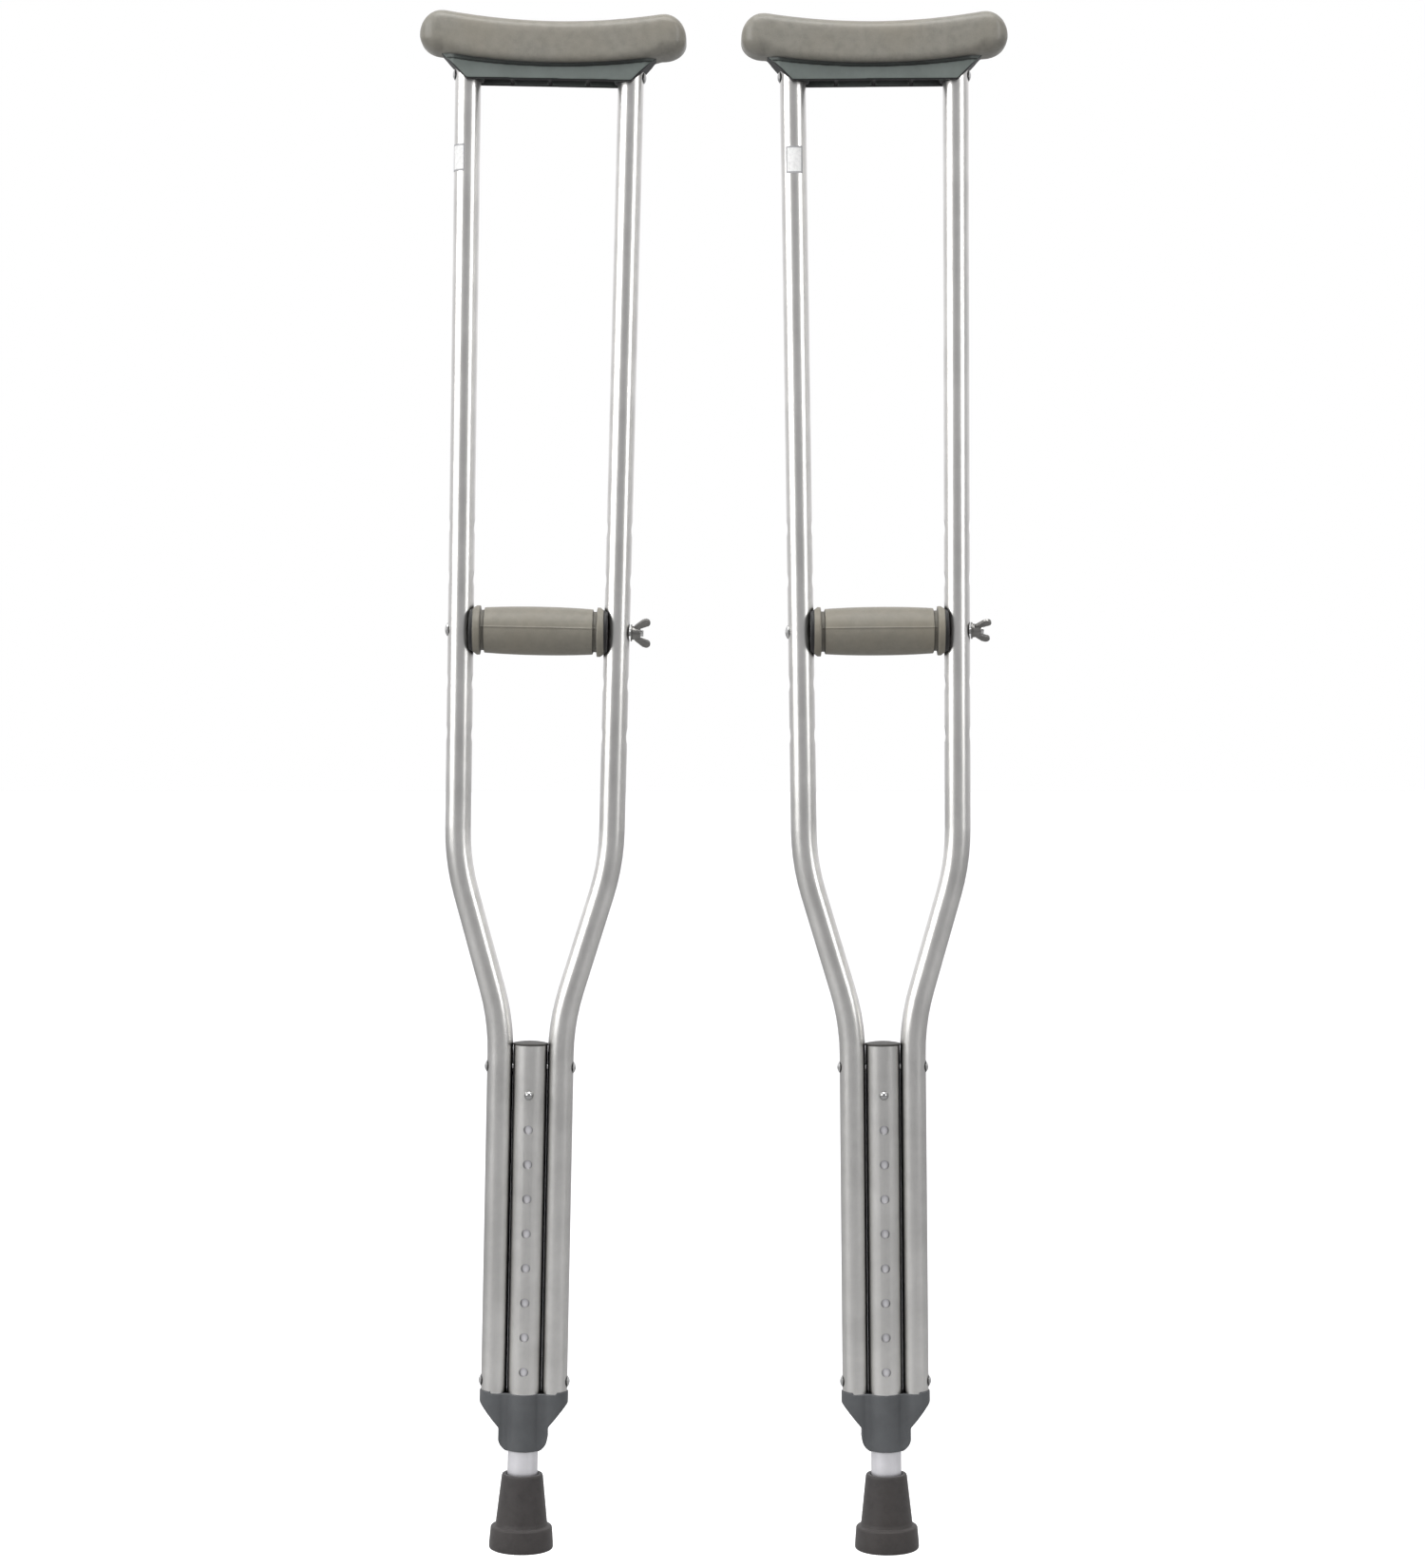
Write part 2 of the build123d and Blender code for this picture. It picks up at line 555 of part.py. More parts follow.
def underarm_pad():
    """The soft pad: a saddle with rounded ends, hollowed to slip over the bracket."""
    horn = (PAD_HORN_X, PAD_HORN_Z)
    nose = (PAD_HALF_LENGTH, PAD_NOSE_Z)
    heel = (PAD_HEEL_X, PAD_HEEL_Z)
    seam = (PAD_SEAM_X, PAD_SEAM_Z)
    outline = ThreePointArc((-horn[0], horn[1]), (0, PAD_TOP_Z), horn)
    outline += Spline(horn, nose, heel, tangents=[(1, 0.1), (-1, -0.12)])
    outline += Line(heel, seam)
    outline += ThreePointArc(seam, (0, PAD_BELLY_Z), (-seam[0], seam[1]))
    outline += Line((-seam[0], seam[1]), (-heel[0], heel[1]))
    outline += Spline(
        (-heel[0], heel[1]), (-nose[0], nose[1]), (-horn[0], horn[1]),
        tangents=[(-1, 0.12), (1, -0.1)],
    )
    pad = front_slab(outline, PAD_HALF_DEPTH)
    plan = RectangleRounded(2 * PAD_HALF_LENGTH, 2 * PAD_HALF_DEPTH, PAD_CORNER_R)
    pad &= Pos(0, 0, PAD_BELLY_Z - 1.0) * extrude(plan, 2 * (PAD_HORN_Z - PAD_BELLY_Z))
    return pad - front_slab(bracket_outline(0), BRACKET_HALF_DEPTH)


def size_label(turn):
    """A blank paper label wrapped round the front of the -X bow."""
    inner = BOW_R + LABEL_GAP
    outer = inner + LABEL_THICK
    ring = rod(0, 0, 0, LABEL_HEIGHT, outer) - rod(0, 0, 0, LABEL_HEIGHT, inner)
    half = math.radians(LABEL_SPREAD / 2)
    far = 3 * BOW_R
    wedge = Polyline(
        (0, 0),
        (-far * math.sin(half), -far * math.cos(half)),
        (far * math.sin(half), -far * math.cos(half)),
        (0, 0),
    )
    ring = ring & extrude(make_face(wedge), LABEL_HEIGHT)
    spread = math.degrees(math.atan2(BOW_TOP_X - BOW_BEND_X, BOW_TOP_Z - BEND_HIGH_Z))
    return Pos(-bow_x(LABEL_Z), 0, LABEL_Z) * Rot(0, -spread, 0) * Rot(0, 0, turn) * ring


# ---------------------------------------------------------------- assembly
def crutch(name):
    """Every piece of one upright crutch, by name."""
    return {
        "underarm_pad": underarm_pad(),
        "underarm_bracket": underarm_bracket(),
        "bracket_rivets": side_rivets(BRACKET_RIVET_Z, BOW_TOP_X),
        "bow_head_side": bow_tube(-1),
        "bow_nut_side": bow_tube(1),
        "centre_tube": centre_tube(),
        "tube_cap": tube_cap(),
        "cross_rivet": cross_rivet(),
        "yoke": yoke(),
        "yoke_rivets": side_rivets(YOKE_RIVET_Z, BOW_LOW_X),
        "leg_tube": leg_tube(),
        "snap_button": snap_button(),
        "snap_spring": snap_spring(),
        "rubber_tip": rubber_tip(),
        "tip_washer": tip_washer(),
        "grip_sleeve": grip_sleeve(),
        "grip_core": grip_core(),
        "grip_bolt": grip_bolt(),
        "nut_washer": nut_washer(),
        "wing_nut": wing_nut(NUT_ANGLE[name]),
        "size_label": size_label(LABEL_TURN[name]),
    }


def stand(pieces, x, lean):
    """Leans a crutch, puts its tip at x and rests the tip's lowest edge on the ground."""
    tilt = Location((x, 0, 0), (0, lean, 0))
    lift = -(tilt * pieces["rubber_tip"]).bounding_box().min.Z
    return Location((0, 0, lift)) * tilt


placed = {}
for crutch_name, tip_x, lean_angle in CRUTCHES:
    loose = crutch(crutch_name)
    where = stand(loose, tip_x, lean_angle)
    for piece_name, piece in loose.items():
        placed[f"{crutch_name}_{piece_name}"] = where * piece

low_x = min(shape.bounding_box().min.X for shape in placed.values())
high_x = max(shape.bounding_box().max.X for shape in placed.values())
CENTRING = -(low_x + high_x) / 2

os.makedirs("parts", exist_ok=True)
for node, shape in placed.items():
    export_step(Pos(CENTRING, 0, 0) * shape, f"parts/{node}.step")
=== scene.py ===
import bpy
import bmesh
import json
import math
from mathutils import Matrix, Vector, noise


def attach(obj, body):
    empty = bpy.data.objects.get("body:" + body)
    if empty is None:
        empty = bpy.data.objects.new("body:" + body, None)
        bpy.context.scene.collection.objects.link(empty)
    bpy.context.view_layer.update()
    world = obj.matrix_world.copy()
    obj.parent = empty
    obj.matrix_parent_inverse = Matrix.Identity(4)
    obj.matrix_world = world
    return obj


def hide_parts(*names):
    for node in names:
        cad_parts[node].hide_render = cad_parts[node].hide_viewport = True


# The looks of a pair of underarm crutches. On each crutch:
# - the tubes, rivets, bolt, button, spring, washers, tube cap, grip core and label are the
#   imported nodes, with materials on them;
# - the pad, the hand grip and the rubber tip are made here;
# - the bracket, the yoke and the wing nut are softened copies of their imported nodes.
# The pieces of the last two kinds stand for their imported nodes.
# Lengths are in a crutch's own millimetres where nothing else is said.

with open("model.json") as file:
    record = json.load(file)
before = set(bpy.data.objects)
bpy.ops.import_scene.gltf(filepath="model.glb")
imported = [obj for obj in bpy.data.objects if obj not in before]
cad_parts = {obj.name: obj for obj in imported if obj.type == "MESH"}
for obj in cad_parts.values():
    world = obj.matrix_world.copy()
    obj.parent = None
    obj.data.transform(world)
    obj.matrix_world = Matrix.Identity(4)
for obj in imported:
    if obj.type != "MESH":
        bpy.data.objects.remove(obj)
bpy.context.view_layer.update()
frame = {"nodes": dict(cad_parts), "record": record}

MM = 0.001
SIDES = ("left", "right")
MOUNTS = {mount["name"]: mount for mount in frame["record"]["mounts"]}


# ---------------------------------------------------------------- each crutch's own frame
def crutch_matrix(side):
    """Maps a crutch's own millimetres (tip's sole at the origin, Z up the leg) to the scene."""
    sole = MOUNTS[f"{side}_tip_sole"]
    up = -Vector(sole["axis"]).normalized()
    across = Vector(MOUNTS[f"{side}_hand_hold"]["axis"]).normalized()
    back = up.cross(across)
    turn = Matrix((across, back, up)).transposed().to_4x4()
    return Matrix.Translation(Vector(sole["pos_m"])) @ turn @ Matrix.Scale(MM, 4)


PLACE = {side: crutch_matrix(side) for side in SIDES}


def height_of(side, mount):
    """How far up its crutch a mount lies, in millimetres."""
    return (PLACE[side].inverted() @ Vector(MOUNTS[f"{side}_{mount}"]["pos_m"])).z


PAD_TOP_Z = height_of("left", "underarm_rest")
GRIP_Z = height_of("left", "hand_hold")


# ---------------------------------------------------------------- mesh helpers
COPY_SMOOTH_ANGLE = 75  # softened copies stay smooth over edges below this many degrees
COPY_SMOOTH_FACTOR = 0.5  # how far each round of smoothing moves a vertex


def new_piece(name, points, faces, side, body, smooth_angle):
    """A mesh piece from points in a crutch's own millimetres, riding on one of its bodies."""
    mesh = bpy.data.meshes.new(name)
    mesh.from_pydata([PLACE[side] @ Vector(point) for point in points], [], faces)
    mesh.validate()
    piece = bpy.data.objects.new(f"{side}_{name}", mesh)
    bpy.context.scene.collection.objects.link(piece)
    shade(piece, smooth_angle)
    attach(piece, f"{side}_{body}")
    return piece


def softened_copy(side, node, body, voxel, rounds):
    """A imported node's shape, remeshed in voxels of so many millimetres and then smoothed for
    so many rounds, which rounds its moulded edges."""
    source = frame["nodes"][f"{side}_{node}"]
    piece = bpy.data.objects.new(f"{side}_{node}_moulded", source.data.copy())
    bpy.context.scene.collection.objects.link(piece)
    remesh = piece.modifiers.new("remesh", "REMESH")
    remesh.mode = "VOXEL"
    remesh.voxel_size = voxel * MM
    smooth = piece.modifiers.new("smooth", "SMOOTH")
    smooth.factor = COPY_SMOOTH_FACTOR
    smooth.iterations = rounds
    graph = bpy.context.evaluated_depsgraph_get()
    mesh = bpy.data.meshes.new_from_object(piece.evaluated_get(graph))
    piece.modifiers.clear()
    piece.data = mesh
    shade(piece, COPY_SMOOTH_ANGLE)
    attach(piece, f"{side}_{body}")
    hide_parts(f"{side}_{node}")
    return piece


def shade(piece, smooth_angle):
    """Smooth shading; edges stay sharp where faces meet at more than smooth_angle degrees."""
    work = bmesh.new()
    work.from_mesh(piece.data)
    bmesh.ops.recalc_face_normals(work, faces=work.faces)
    limit = math.radians(smooth_angle)
    for face in work.faces:
        face.smooth = True
    for edge in work.edges:
        edge.smooth = len(edge.link_faces) != 2 or edge.calc_face_angle(0) < limit
    work.to_mesh(piece.data)
    work.free()


def reshape(piece, side, change):
    """Moves every vertex of a piece by change(point), in its crutch's own millimetres."""
    local = PLACE[side].inverted()
    for vertex in piece.data.vertices:
        vertex.co = PLACE[side] @ change(local @ vertex.co)


def dress(piece, material):
    """Gives a piece one material."""
    piece.data.materials.clear()
    piece.data.materials.append(material)


def clamped(value):
    """The value, kept between 0 and 1."""
    return max(0.0, min(1.0, value))


def grid_faces(rows, columns):
    """Quads between rows of points, each row closed into a ring."""
    faces = []
    for row in range(rows - 1):
        low = row * columns
        high = low + columns
        for column in range(columns):
            following = (column + 1) % columns
            faces.append((low + column, low + following, high + following, high + column))
    return faces


def turned(profile, segments, warp=None):
    """Points and faces of a closed (radius, height) profile turned about Z."""
    points = []
    for radius, height in profile:
        for step in range(segments):
            angle = 2 * math.pi * step / segments
            point = Vector((radius * math.cos(angle), radius * math.sin(angle), height))
            points.append(warp(point) if warp else point)
    faces = grid_faces(len(profile), segments)
    last = (len(profile) - 1) * segments
    for step in range(segments):
        following = (step + 1) % segments
        faces.append((last + step, last + following, following, step))
    return points, faces


def rounded(corners, steps):
    """A list of (x, y, radius) corners as points, with each corner rounded by its radius."""
    outline = []
    count = len(corners)
    for index, (x, y, radius) in enumerate(corners):
        here = Vector((x, y))
        if radius == 0:
            outline.append(here)
            continue
        before = (Vector(corners[index - 1][:2]) - here).normalized()
        after = (Vector(corners[(index + 1) % count][:2]) - here).normalized()
        half = before.angle(after) / 2
        reach = radius / math.tan(half)
        centre = here + (before + after).normalized() * (radius / math.sin(half))
        start = here + before * reach - centre
        end = here + after * reach - centre
        swing = start.angle_signed(end)
        for step in range(steps + 1):
            turn = Matrix.Rotation(-swing * step / steps, 2)
            outline.append(centre + turn @ start)
    return [(point.x, point.y) for point in outline]


# ---------------------------------------------------------------- node helpers
SHADE_FROM = 0.30  # openness (1 is free of neighbours) at which the painted shade is full
SHADE_TO = 0.85  # openness at which there is none
ASIDE_FROM = 0.35  # how far a normal must turn sideways before the painted shade shows there
ASIDE_TO = 0.75


def scaled(tone, factor):
    """A colour made lighter or darker."""
    return tuple(channel * factor for channel in tone)


class Nodes:
    """A short way to add nodes to a tree."""

    def __init__(self, tree):
        self.tree = tree

    def add(self, kind, **settings):
        node = self.tree.nodes.new(kind)
        for key, value in settings.items():
            setattr(node, key, value)
        return node

    def link(self, output, target):
        self.tree.links.new(output, target)

    def levels(self, factor, low, high, start=0.0, end=1.0):
        """A factor between start and end, mapped to low and high."""
        node = self.add("ShaderNodeMapRange")
        limits = {"From Min": start, "From Max": end, "To Min": low, "To Max": high}
        for key, value in limits.items():
            node.inputs[key].default_value = value
        self.link(factor, node.inputs["Value"])
        return node.outputs["Result"]

    def part(self, vector, axis):
        """One component of a vector."""
        split = self.add("ShaderNodeSeparateXYZ")
        self.link(vector, split.inputs[0])
        return split.outputs[axis]


class Look(Nodes):
    """A procedural material. Its textures are in metres, in the coordinates of its piece."""

    def __init__(self, name):
        self.material = bpy.data.materials.new(name)
        self.material.use_nodes = True
        super().__init__(self.material.node_tree)
        self.shader = self.tree.nodes["Principled BSDF"]
        self.place = self.add("ShaderNodeTexCoord").outputs["Object"]

    def drawn_out(self, share):
        """Coordinates for lines along a tube, whose scale along it is a share of the rest."""
        mapping = self.add("ShaderNodeMapping")
        mapping.inputs["Scale"].default_value = (1.0, 1.0, share)
        self.link(self.place, mapping.inputs["Vector"])
        return mapping.outputs["Vector"]

    def noise(self, scale, detail, rough=0.5, at=None):
        node = self.add("ShaderNodeTexNoise")
        node.inputs["Scale"].default_value = scale
        node.inputs["Detail"].default_value = detail
        node.inputs["Roughness"].default_value = rough
        self.link(at or self.place, node.inputs["Vector"])
        return node.outputs["Fac"]

    def cells(self, scale):
        node = self.add("ShaderNodeTexVoronoi")
        node.inputs["Scale"].default_value = scale
        self.link(self.place, node.inputs["Vector"])
        return node.outputs["Distance"]

    def ramp(self, factor, *stops):
        """Each stop is (position, colour or grey)."""
        node = self.add("ShaderNodeValToRGB")
        elements = node.color_ramp.elements
        while len(elements) < len(stops):
            elements.new(0.5)
        for element, (position, colour) in zip(elements, stops):
            channels = colour if isinstance(colour, tuple) else (colour, colour, colour)
            element.position = position
            element.color = (*channels, 1.0)
        self.link(factor, node.inputs["Fac"])
        return node.outputs["Color"]

    def mixed(self, factor, first, second):
        """The first colour at a factor of 0, the second at 1."""
        node = self.add("ShaderNodeMix", data_type="RGBA")
        self.link(factor, node.inputs["Factor"])
        for key, value in (("A", first), ("B", second)):
            socket = [s for s in node.inputs if s.name == key and s.type == "RGBA"][0]
            if isinstance(value, tuple):
                socket.default_value = (*value, 1.0)
            else:
                self.link(value, socket)
        return [s for s in node.outputs if s.type == "RGBA"][0]

    def near_ends(self, axis, border, blend):
        """1 within border of the piece's two ends along an axis of its box, 0 elsewhere."""
        inward = self.add("ShaderNodeMath", operation="PINGPONG")
        inward.inputs[1].default_value = 0.5
        box_place = self.add("ShaderNodeTexCoord").outputs["Generated"]
        self.link(self.part(box_place, axis), inward.inputs[0])
        return self.levels(inward.outputs[0], 1.0, 0.0, start=border, end=border + blend)

    def facing(self, axis):
        """How much the surface's normal points along an axis of the scene."""
        return self.part(self.add("ShaderNodeNewGeometry").outputs["Normal"], axis)

    def shade_in_crevices(self, colour, reach, strength, dark=(0.03, 0.03, 0.03), sideways=False):
        """Darkens a colour with painted shade where other surfaces come within reach metres,
        from an ambient occlusion mask. With sideways, only faces that look to the left or right
        get it."""
        near = self.add("ShaderNodeAmbientOcclusion", samples=8)
        near.inputs["Distance"].default_value = reach
        crevice_shade = self.levels(near.outputs["AO"], strength, 0.0, start=SHADE_FROM, end=SHADE_TO)
        if sideways:
            aside = self.add("ShaderNodeMath", operation="ABSOLUTE")
            self.link(self.facing("X"), aside.inputs[0])
            shown = self.levels(aside.outputs[0], 0.0, 1.0, start=ASIDE_FROM, end=ASIDE_TO)
            both = self.add("ShaderNodeMath", operation="MULTIPLY")
            self.link(crevice_shade, both.inputs[0])
            self.link(shown, both.inputs[1])
            crevice_shade = both.outputs[0]
        return self.mixed(crevice_shade, colour, dark)

    def bumps(self, *layers):
        """Each layer is (height, distance in mm, strength)."""
        normal = None
        for height, distance, strength in layers:
            node = self.add("ShaderNodeBump")
            node.inputs["Distance"].default_value = distance * MM
            node.inputs["Strength"].default_value = strength
            self.link(height, node.inputs["Height"])
            if normal:
                self.link(normal, node.inputs["Normal"])
            normal = node.outputs["Normal"]
        self.link(normal, self.shader.inputs["Normal"])

    def set(self, **values):
        """Sets or links sockets of the shader, named with _ for each space."""
        for key, value in values.items():
            socket = self.shader.inputs[key.replace("_", " ")]
            if hasattr(value, "is_linked"):
                self.link(value, socket)
            elif isinstance(value, tuple):
                socket.default_value = (*value, 1.0)
            else:
                socket.default_value = value


# ---------------------------------------------------------------- materials
LINE_TONE = (0.56, 0.55, 0.54)  # of the wider lines in the aluminium
GRIP_END_SHADE = (0.012, 0.012, 0.012)  # painted shade on the grip's ends, black where they sit against the bows
CREVICE_SHADE_BLACK = (0.006, 0.006, 0.006)  # painted shade in crevices of plastic and in the bracket's inside and on its downward faces
FOAM_WARMTH = (1.05, 1.0, 0.93)  # tints broad patches of the foam
BORDER_TONE = (0.36, 0.36, 0.37)  # of the label's border


def aluminium(name, tone, rough, streak=1.0, metallic=1.0, crevice_shade=0.9, sideways=True):
    """Satin anodised tube: fine lines along the draw direction, faint handling marks."""
    look = Look(name)
    lines = look.noise(2600.0, detail=2.0, rough=0.6, at=look.drawn_out(0.012))
    wide_lines = look.noise(420.0, detail=3.0, rough=0.6, at=look.drawn_out(0.02))
    patches = look.noise(28.0, detail=4.0, rough=0.6)
    scuffs = look.noise(900.0, detail=5.0, rough=0.7, at=look.drawn_out(0.3))
    colour = look.ramp(patches, (0.35, scaled(tone, 0.90)), (0.65, scaled(tone, 1.04)))
    lined = look.levels(wide_lines, 0.0, 0.10, start=0.45, end=0.7)
    colour = look.mixed(lined, colour, LINE_TONE)
    # painted shade: darker where other parts come within 6 mm, such as the crevices between the
    # tubes
    colour = look.shade_in_crevices(colour, reach=0.006, strength=crevice_shade, sideways=sideways)
    roughness = look.levels(scuffs, rough - 0.02, rough + 0.05, start=0.3, end=0.75)
    look.set(Base_Color=colour, Metallic=metallic, Roughness=roughness)
    look.bumps((lines, 0.010 * streak, 0.4), (wide_lines, 0.006 * streak, 0.2))
    return look.material


def steel(name, tone, rough, grain=900.0):
    """Plated steel or zinc: cloudy plating with fine pits."""
    look = Look(name)
    cloud = look.noise(160.0, detail=4.0, rough=0.6)
    pits = look.noise(grain, detail=4.0, rough=0.65)
    colour = look.ramp(cloud, (0.3, scaled(tone, 0.78)), (0.7, scaled(tone, 1.12)))
    roughness = look.levels(pits, rough - 0.06, rough + 0.14, start=0.3, end=0.7)
    look.set(Base_Color=colour, Metallic=1.0, Roughness=roughness)
    look.bumps((pits, 0.03, 0.4))
    return look.material


def chrome():
    """The polished button: a faint haze in its shine."""
    look = Look("button_chrome")
    haze = look.noise(500.0, detail=3.0)
    colour = look.ramp(haze, (0.3, 0.42), (0.7, 0.50))
    roughness = look.levels(haze, 0.06, 0.14, start=0.3, end=0.7)
    look.set(Base_Color=colour, Metallic=1.0, Roughness=roughness)
    look.bumps((haze, 0.01, 0.2))
    return look.material


def foam(name, tone, grain, rough=0.62, speck=0.85, ends=0.0, gloss=0.0):
    """Moulded foam rubber: an even mottled skin with fine pores, and painted shade where other
    parts come near. Its ends may be painted black as shade, over a share of its length."""
    look = Look(name)
    mottle = look.noise(150.0, detail=5.0, rough=0.65)
    broad = look.noise(24.0, detail=3.0)
    pores = look.cells(grain)
    fine = look.noise(grain * 1.6, detail=4.0, rough=0.7)
    dark, light = scaled(tone, speck), scaled(tone, 1.10)
    warm = tuple(channel * factor for channel, factor in zip(tone, FOAM_WARMTH))
    colour = look.ramp(mottle, (0.32, dark), (0.52, tone), (0.72, light))
    colour = look.mixed(look.levels(broad, 0.0, 0.5, start=0.4, end=0.7), colour, warm)
    # painted shade where other parts come within 5 mm, such as the seam under the pad
    colour = look.shade_in_crevices(colour, reach=0.005, strength=0.8)
    # painted shade: the ends, over a share of the box's length, are black as in the shadow by
    # the bows
    if ends:
        colour = look.mixed(look.near_ends("X", ends, blend=0.004), colour, GRIP_END_SHADE)
    roughness = look.levels(fine, rough - 0.08, rough + 0.10, start=0.3, end=0.7)
    look.set(Base_Color=colour, Roughness=roughness)
    look.shader.inputs["Specular IOR Level"].default_value = 0.42
    look.shader.inputs["Coat Weight"].default_value = gloss
    look.shader.inputs["Coat Roughness"].default_value = 0.22
    look.shader.inputs["Sheen Weight"].default_value = 0.12
    look.shader.inputs["Sheen Roughness"].default_value = 0.45
    look.bumps((fine, 0.10, 0.45), (pores, 0.12, 0.30))
    return look.material


def plastic(name, tone, rough, under=None, reach=0.007):
    """Moulded plastic: a fine spark-eroded texture, with painted shade where other surfaces
    come near; faces that look down may get painted shade.
    """
    look = Look(name)
    texture = look.noise(1300.0, detail=3.0, rough=0.6)
    flow = look.noise(45.0, detail=4.0, rough=0.6)
    colour = look.ramp(flow, (0.35, scaled(tone, 0.90)), (0.65, scaled(tone, 1.10)))
    # painted shade where other surfaces come within reach, such as the seam under the pad and
    # the bracket's hollows
    colour = look.shade_in_crevices(colour, reach, strength=0.92, dark=CREVICE_SHADE_BLACK)
    # painted shade: faces that look down are turned black, as in shadow
    if under:
        underside_shade = look.levels(look.facing("Z"), 1.0, 0.0, start=-0.45, end=-0.20)
        colour = look.mixed(underside_shade, colour, under)
    roughness = look.levels(texture, rough - 0.06, rough + 0.08, start=0.3, end=0.7)
    look.set(Base_Color=colour, Roughness=roughness)
    look.shader.inputs["Specular IOR Level"].default_value = 0.45
    look.bumps((texture, 0.05, 0.35), (flow, 0.12, 0.15))
    return look.material


def paper():
    """A blank label: white film with a grey printed border, faintly yellowed and scuffed."""
    look = Look("label_paper")
    wear = look.noise(420.0, detail=5.0, rough=0.7)
    fibre = look.noise(1800.0, detail=3.0, rough=0.6)
    colour = look.ramp(wear, (0.30, (0.70, 0.70, 0.69)), (0.55, (0.84, 0.84, 0.83)))
    for axis, border in (("X", 0.08), ("Z", 0.06)):
        colour = look.mixed(look.near_ends(axis, border, blend=0.02), colour, BORDER_TONE)
    look.set(Base_Color=colour, Roughness=look.levels(fibre, 0.40, 0.60))
    look.bumps((fibre, 0.02, 0.3))
    return look.material


TUBE = aluminium("tube_satin", (0.835, 0.825, 0.800), rough=0.30)
LEG = aluminium("leg_satin", (0.90, 0.89, 0.92), rough=0.36, streak=0.7, metallic=0.6,
                crevice_shade=0.5, sideways=False)
RIVET = steel("rivet_plate", (0.70, 0.70, 0.69), rough=0.32)
SPRING = steel("spring_leaf", (0.40, 0.40, 0.41), rough=0.36)
ZINC = steel("zinc_cast", (0.25, 0.245, 0.235), rough=0.32, grain=700.0)
CHROME = chrome()
PAD = foam("pad_foam", (0.214, 0.204, 0.174), grain=900.0, gloss=0.35)
# its ends are painted black as shade
GRIP = foam("grip_rubber", (0.212, 0.198, 0.163), grain=1300.0, rough=0.50, speck=0.9,
            ends=0.028)
TIP = foam("tip_rubber", (0.051, 0.046, 0.045), grain=1100.0, rough=0.60, speck=0.8)
YOKE = plastic("yoke_plastic", (0.100, 0.105, 0.110), rough=0.46)
# its hollows and downward faces get painted shade, black as in shadow
BRACKET = plastic("bracket_plastic", (0.142, 0.164, 0.153), rough=0.50, under=CREVICE_SHADE_BLACK,
                  reach=0.016)
CAP = plastic("cap_plastic", (0.055, 0.053, 0.048), rough=0.46)
CORE = plastic("core_plastic", (0.03, 0.03, 0.03), rough=0.5)
LABEL = paper()

NODE_MATERIALS = {
    "bow_head_side": TUBE, "bow_nut_side": TUBE, "centre_tube": TUBE, "leg_tube": LEG,
    "bracket_rivets": RIVET, "cross_rivet": RIVET, "yoke_rivets": RIVET, "tip_washer": RIVET,
    "snap_button": CHROME, "snap_spring": SPRING, "grip_bolt": RIVET, "nut_washer": ZINC,
    "grip_core": CORE, "size_label": LABEL, "tube_cap": CAP,
}


# ---------------------------------------------------------------- underarm pad
PAD_LENGTH = 97.9  # half
PAD_DEPTH = 21.5  # half
PAD_RISE = 7.8  # how much higher the top is at PAD_RISE_X than at the middle
PAD_RISE_X = 86.0
PAD_TOP_TURN_X = 78.0  # where the top starts to roll over the end
PAD_CREST = 0.9  # a swell of the top where it rolls over
PAD_TOP_ROLL = 2.2  # the power of its roll; 2 would be round
PAD_UNDER_Z = PAD_TOP_Z - 31.5  # the underside at the middle
PAD_UNDER_RISE = 6.0
PAD_UNDER_X = 80.0  # where the underside starts to slope up to the end
PAD_UNDER_ROLL = 2.1
PAD_NOSE_Z = PAD_TOP_Z - 12.5
PAD_CORNER = 15.0  # how far the ends' corners are rounded, seen from above
PAD_CORNER_ROLL = 2.2
PAD_CORNER_TUCK = 0.85  # how much of PAD_CORNER the depth loses at the very end
PAD_CROWN_POWER = 3.6  # squareness of the section's upper half
PAD_FLOOR_POWER = 9.0  # and of its lower half at the middle
PAD_FLOOR_EASE = 6.0  # how much rounder the lower half gets towards the ends
PAD_FLANK_POWER = 0.4  # how much squarer the sections are up and down than across
PAD_SWELL_SCALE = 0.03  # slow unevenness of the moulding, per millimetre
PAD_SWELL_DEPTH = 0.006  # as a share of the depth
PAD_SWELL_HEIGHT = 0.15
PAD_THINNEST = 0.02  # half height of the section at the very end
PAD_STATIONS = 150
PAD_AROUND = 96
PAD_ASIDE = {"left": 2.5, "right": 0.0}  # how far each pad sits off its bracket's middle


def quarter(share, power):
    """A quarter of a squarish circle: 1 at a share of 0, falling to 0 at a share of 1."""
    return (1 - share**power) ** (1 / power)


def pad_section(x):
    """The top, the bottom and the half depth of the pad at x."""
    far = abs(x)
    top = PAD_TOP_Z + PAD_RISE * (min(far, PAD_TOP_TURN_X) / PAD_RISE_X) ** 2
    bottom = PAD_UNDER_Z + PAD_UNDER_RISE * (min(far, PAD_UNDER_X) / PAD_UNDER_X) ** 2
    depth = PAD_DEPTH
    if far > PAD_TOP_TURN_X:
        share = (far - PAD_TOP_TURN_X) / (PAD_LENGTH - PAD_TOP_TURN_X)
        crest = top + PAD_CREST * math.sin(math.pi * min(share, 0.5))
        top = PAD_NOSE_Z + (crest - PAD_NOSE_Z) * quarter(share, PAD_TOP_ROLL)
    if far > PAD_UNDER_X:
        share = (far - PAD_UNDER_X) / (PAD_LENGTH - PAD_UNDER_X)
        bottom = PAD_NOSE_Z + (bottom - PAD_NOSE_Z) * quarter(share, PAD_UNDER_ROLL)
    if far > PAD_LENGTH - PAD_CORNER:
        share = 1 - (PAD_LENGTH - far) / PAD_CORNER
        tuck = 1 - quarter(share, PAD_CORNER_ROLL)
        depth = PAD_DEPTH - PAD_CORNER * PAD_CORNER_TUCK * tuck
    return top, bottom, depth


